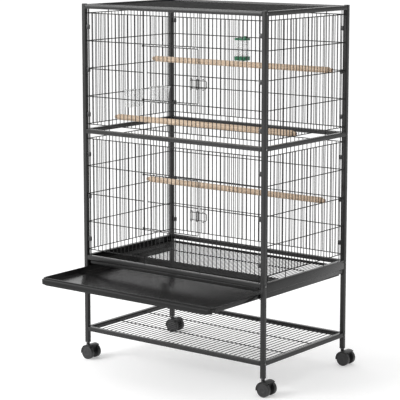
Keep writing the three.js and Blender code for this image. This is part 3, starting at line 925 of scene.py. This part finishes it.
def casters():
    pattern = wheel()
    for corner in CORNERS:
        node = f"{corner}_caster_wheels"
        low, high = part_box(node)
        centre = [(a + b) / 2 for a, b in zip(low, high)]
        centre[2] = WHEEL_RADIUS
        pair = []
        for side, turn in ((-1, 0), (1, 180)):
            twin = copied("wheel", pattern)
            pair.append(turned(twin, turn, (centre[0], centre[1] + side * WHEEL_SPREAD / 2, centre[2])))
        pair.append(drum(centre, 0.003, WHEEL_SPREAD, "Y", 16))
        dress(joined(f"{corner}_twin_wheels", pair), BLACK, f"{corner}_wheels", "caster_plastic", node)
        frame_node = f"{corner}_caster_frame"
        hood = copied(f"{corner}_hood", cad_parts[frame_node])
        merge_flats(hood)
        soften(hood, 0.0007)
        dress(hood, BLACK, f"{corner}_caster", "caster_plastic", frame_node)
        leg_plug(corner)
    pick_only(pattern)
    bpy.ops.object.delete()


def leg_plug(corner):
    """A plastic plug with a rounded collar, and a bright ring round the caster's stem."""
    node = f"{corner}_leg_plug"
    low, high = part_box(node)
    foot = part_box(f"{corner}_post")[0][2]
    collar = block((low[0], low[1], low[2]), (high[0], high[1], foot - 0.0002))
    edit(collar)
    select_faces(collar, lambda centre, normal: normal.z < -0.9)
    bpy.ops.mesh.inset(thickness=0.003, depth=0.0008)
    done_editing()
    soften(collar, 0.0012)
    dress(joined(f"{corner}_plug_collar", [collar]), BLACK, "cage", "caster_plastic", node)
    middle = ((low[0] + high[0]) / 2, (low[1] + high[1]) / 2, low[2] - 0.0012)
    ring = soften(drum(middle, RING_RADIUS, 0.0016, "Z", 24), 0.0004)
    dress(joined(f"{corner}_stem_ring", [ring]), ZINC, f"{corner}_caster", "steel")


# ---------- studio ----------


def floor():
    """A white floor with a little light of its own, so that it stays white under the object."""
    bpy.ops.object.select_all(action="DESELECT")
    bpy.ops.mesh.primitive_plane_add(size=60)
    plane = bpy.context.object
    plane.name = "studio_floor"
    surface = Surface("studio_floor", 0.9)
    surface.shader.inputs["Base Color"].default_value = (0.8, 0.8, 0.8, 1)
    surface.shader.inputs["Specular IOR Level"].default_value = 0
    surface.shader.inputs["Emission Color"].default_value = (1, 1, 1, 1)
    surface.shader.inputs["Emission Strength"].default_value = FLOOR_GLOW
    plane.data.materials.append(surface.material)


def area_light(name, place, target, size, power):
    bpy.ops.object.light_add(type="AREA", location=place)
    light = bpy.context.object
    light.name = name
    light.data.energy = power
    light.data.size = size
    light.rotation_euler = (Vector(target) - Vector(place)).to_track_quat("-Z", "Y").to_euler()


def studio_sky():
    """White behind the object, and for the object a soft studio that is brighter on the left and above."""
    world = bpy.data.worlds.new("studio")
    world.use_nodes = True
    nodes = world.node_tree.nodes
    links = world.node_tree.links
    place = nodes.new("ShaderNodeTexCoord").outputs["Generated"]
    towards = nodes.new("ShaderNodeVectorMath")
    towards.operation = "DOT_PRODUCT"
    towards.inputs[1].default_value = BRIGHT_SIDE
    links.new(place, towards.inputs[0])
    strength = nodes.new("ShaderNodeMapRange")
    strength.inputs["From Min"].default_value = -1
    strength.inputs["To Min"].default_value = DIM_SKY
    strength.inputs["To Max"].default_value = BRIGHT_SKY
    links.new(towards.outputs["Value"], strength.inputs["Value"])
    seen = nodes.new("ShaderNodeMix")
    seen.inputs["B"].default_value = 1.0
    links.new(nodes.new("ShaderNodeLightPath").outputs["Is Camera Ray"], seen.inputs["Factor"])
    links.new(strength.outputs["Result"], seen.inputs["A"])
    nodes["Background"].inputs["Color"].default_value = (1, 1, 1, 1)
    links.new(seen.outputs["Result"], nodes["Background"].inputs["Strength"])
    bpy.context.scene.world = world


def lights():
    studio_sky()
    area_light("key_light", KEY_PLACE, (MIDDLE_X, MIDDLE_Y, KEY_TARGET_HEIGHT), KEY_SIZE, KEY_POWER)


def camera():
    """A long lens in front and to the right, a little above the roof, tilted down."""
    bpy.ops.object.camera_add(
        location=Vector((MIDDLE_X, MIDDLE_Y, 0)) + Vector(CAMERA_PLACE),
        rotation=(math.radians(90 - CAMERA_TILT), 0, math.radians(CAMERA_HEADING)),
    )
    view = bpy.context.object
    view.data.lens = LENS
    view.data.sensor_width = 36
    view.data.shift_y = LENS_SHIFT
    view.data.clip_end = 100
    bpy.context.scene.camera = view


frame_tubes()
aprons()
post_caps()
rail_bolts()
walls()
roof()
panel_clips()
door("upper", UPPER_ROWS)
door("lower", LOWER_ROWS)
latch("upper")
latch("lower")
grate()
shelf()
tray()
perches()
feeder_cups()
seed_hopper()
casters()
floor()
lights()
camera()
bpy.context.scene.view_settings.view_transform = "Standard"
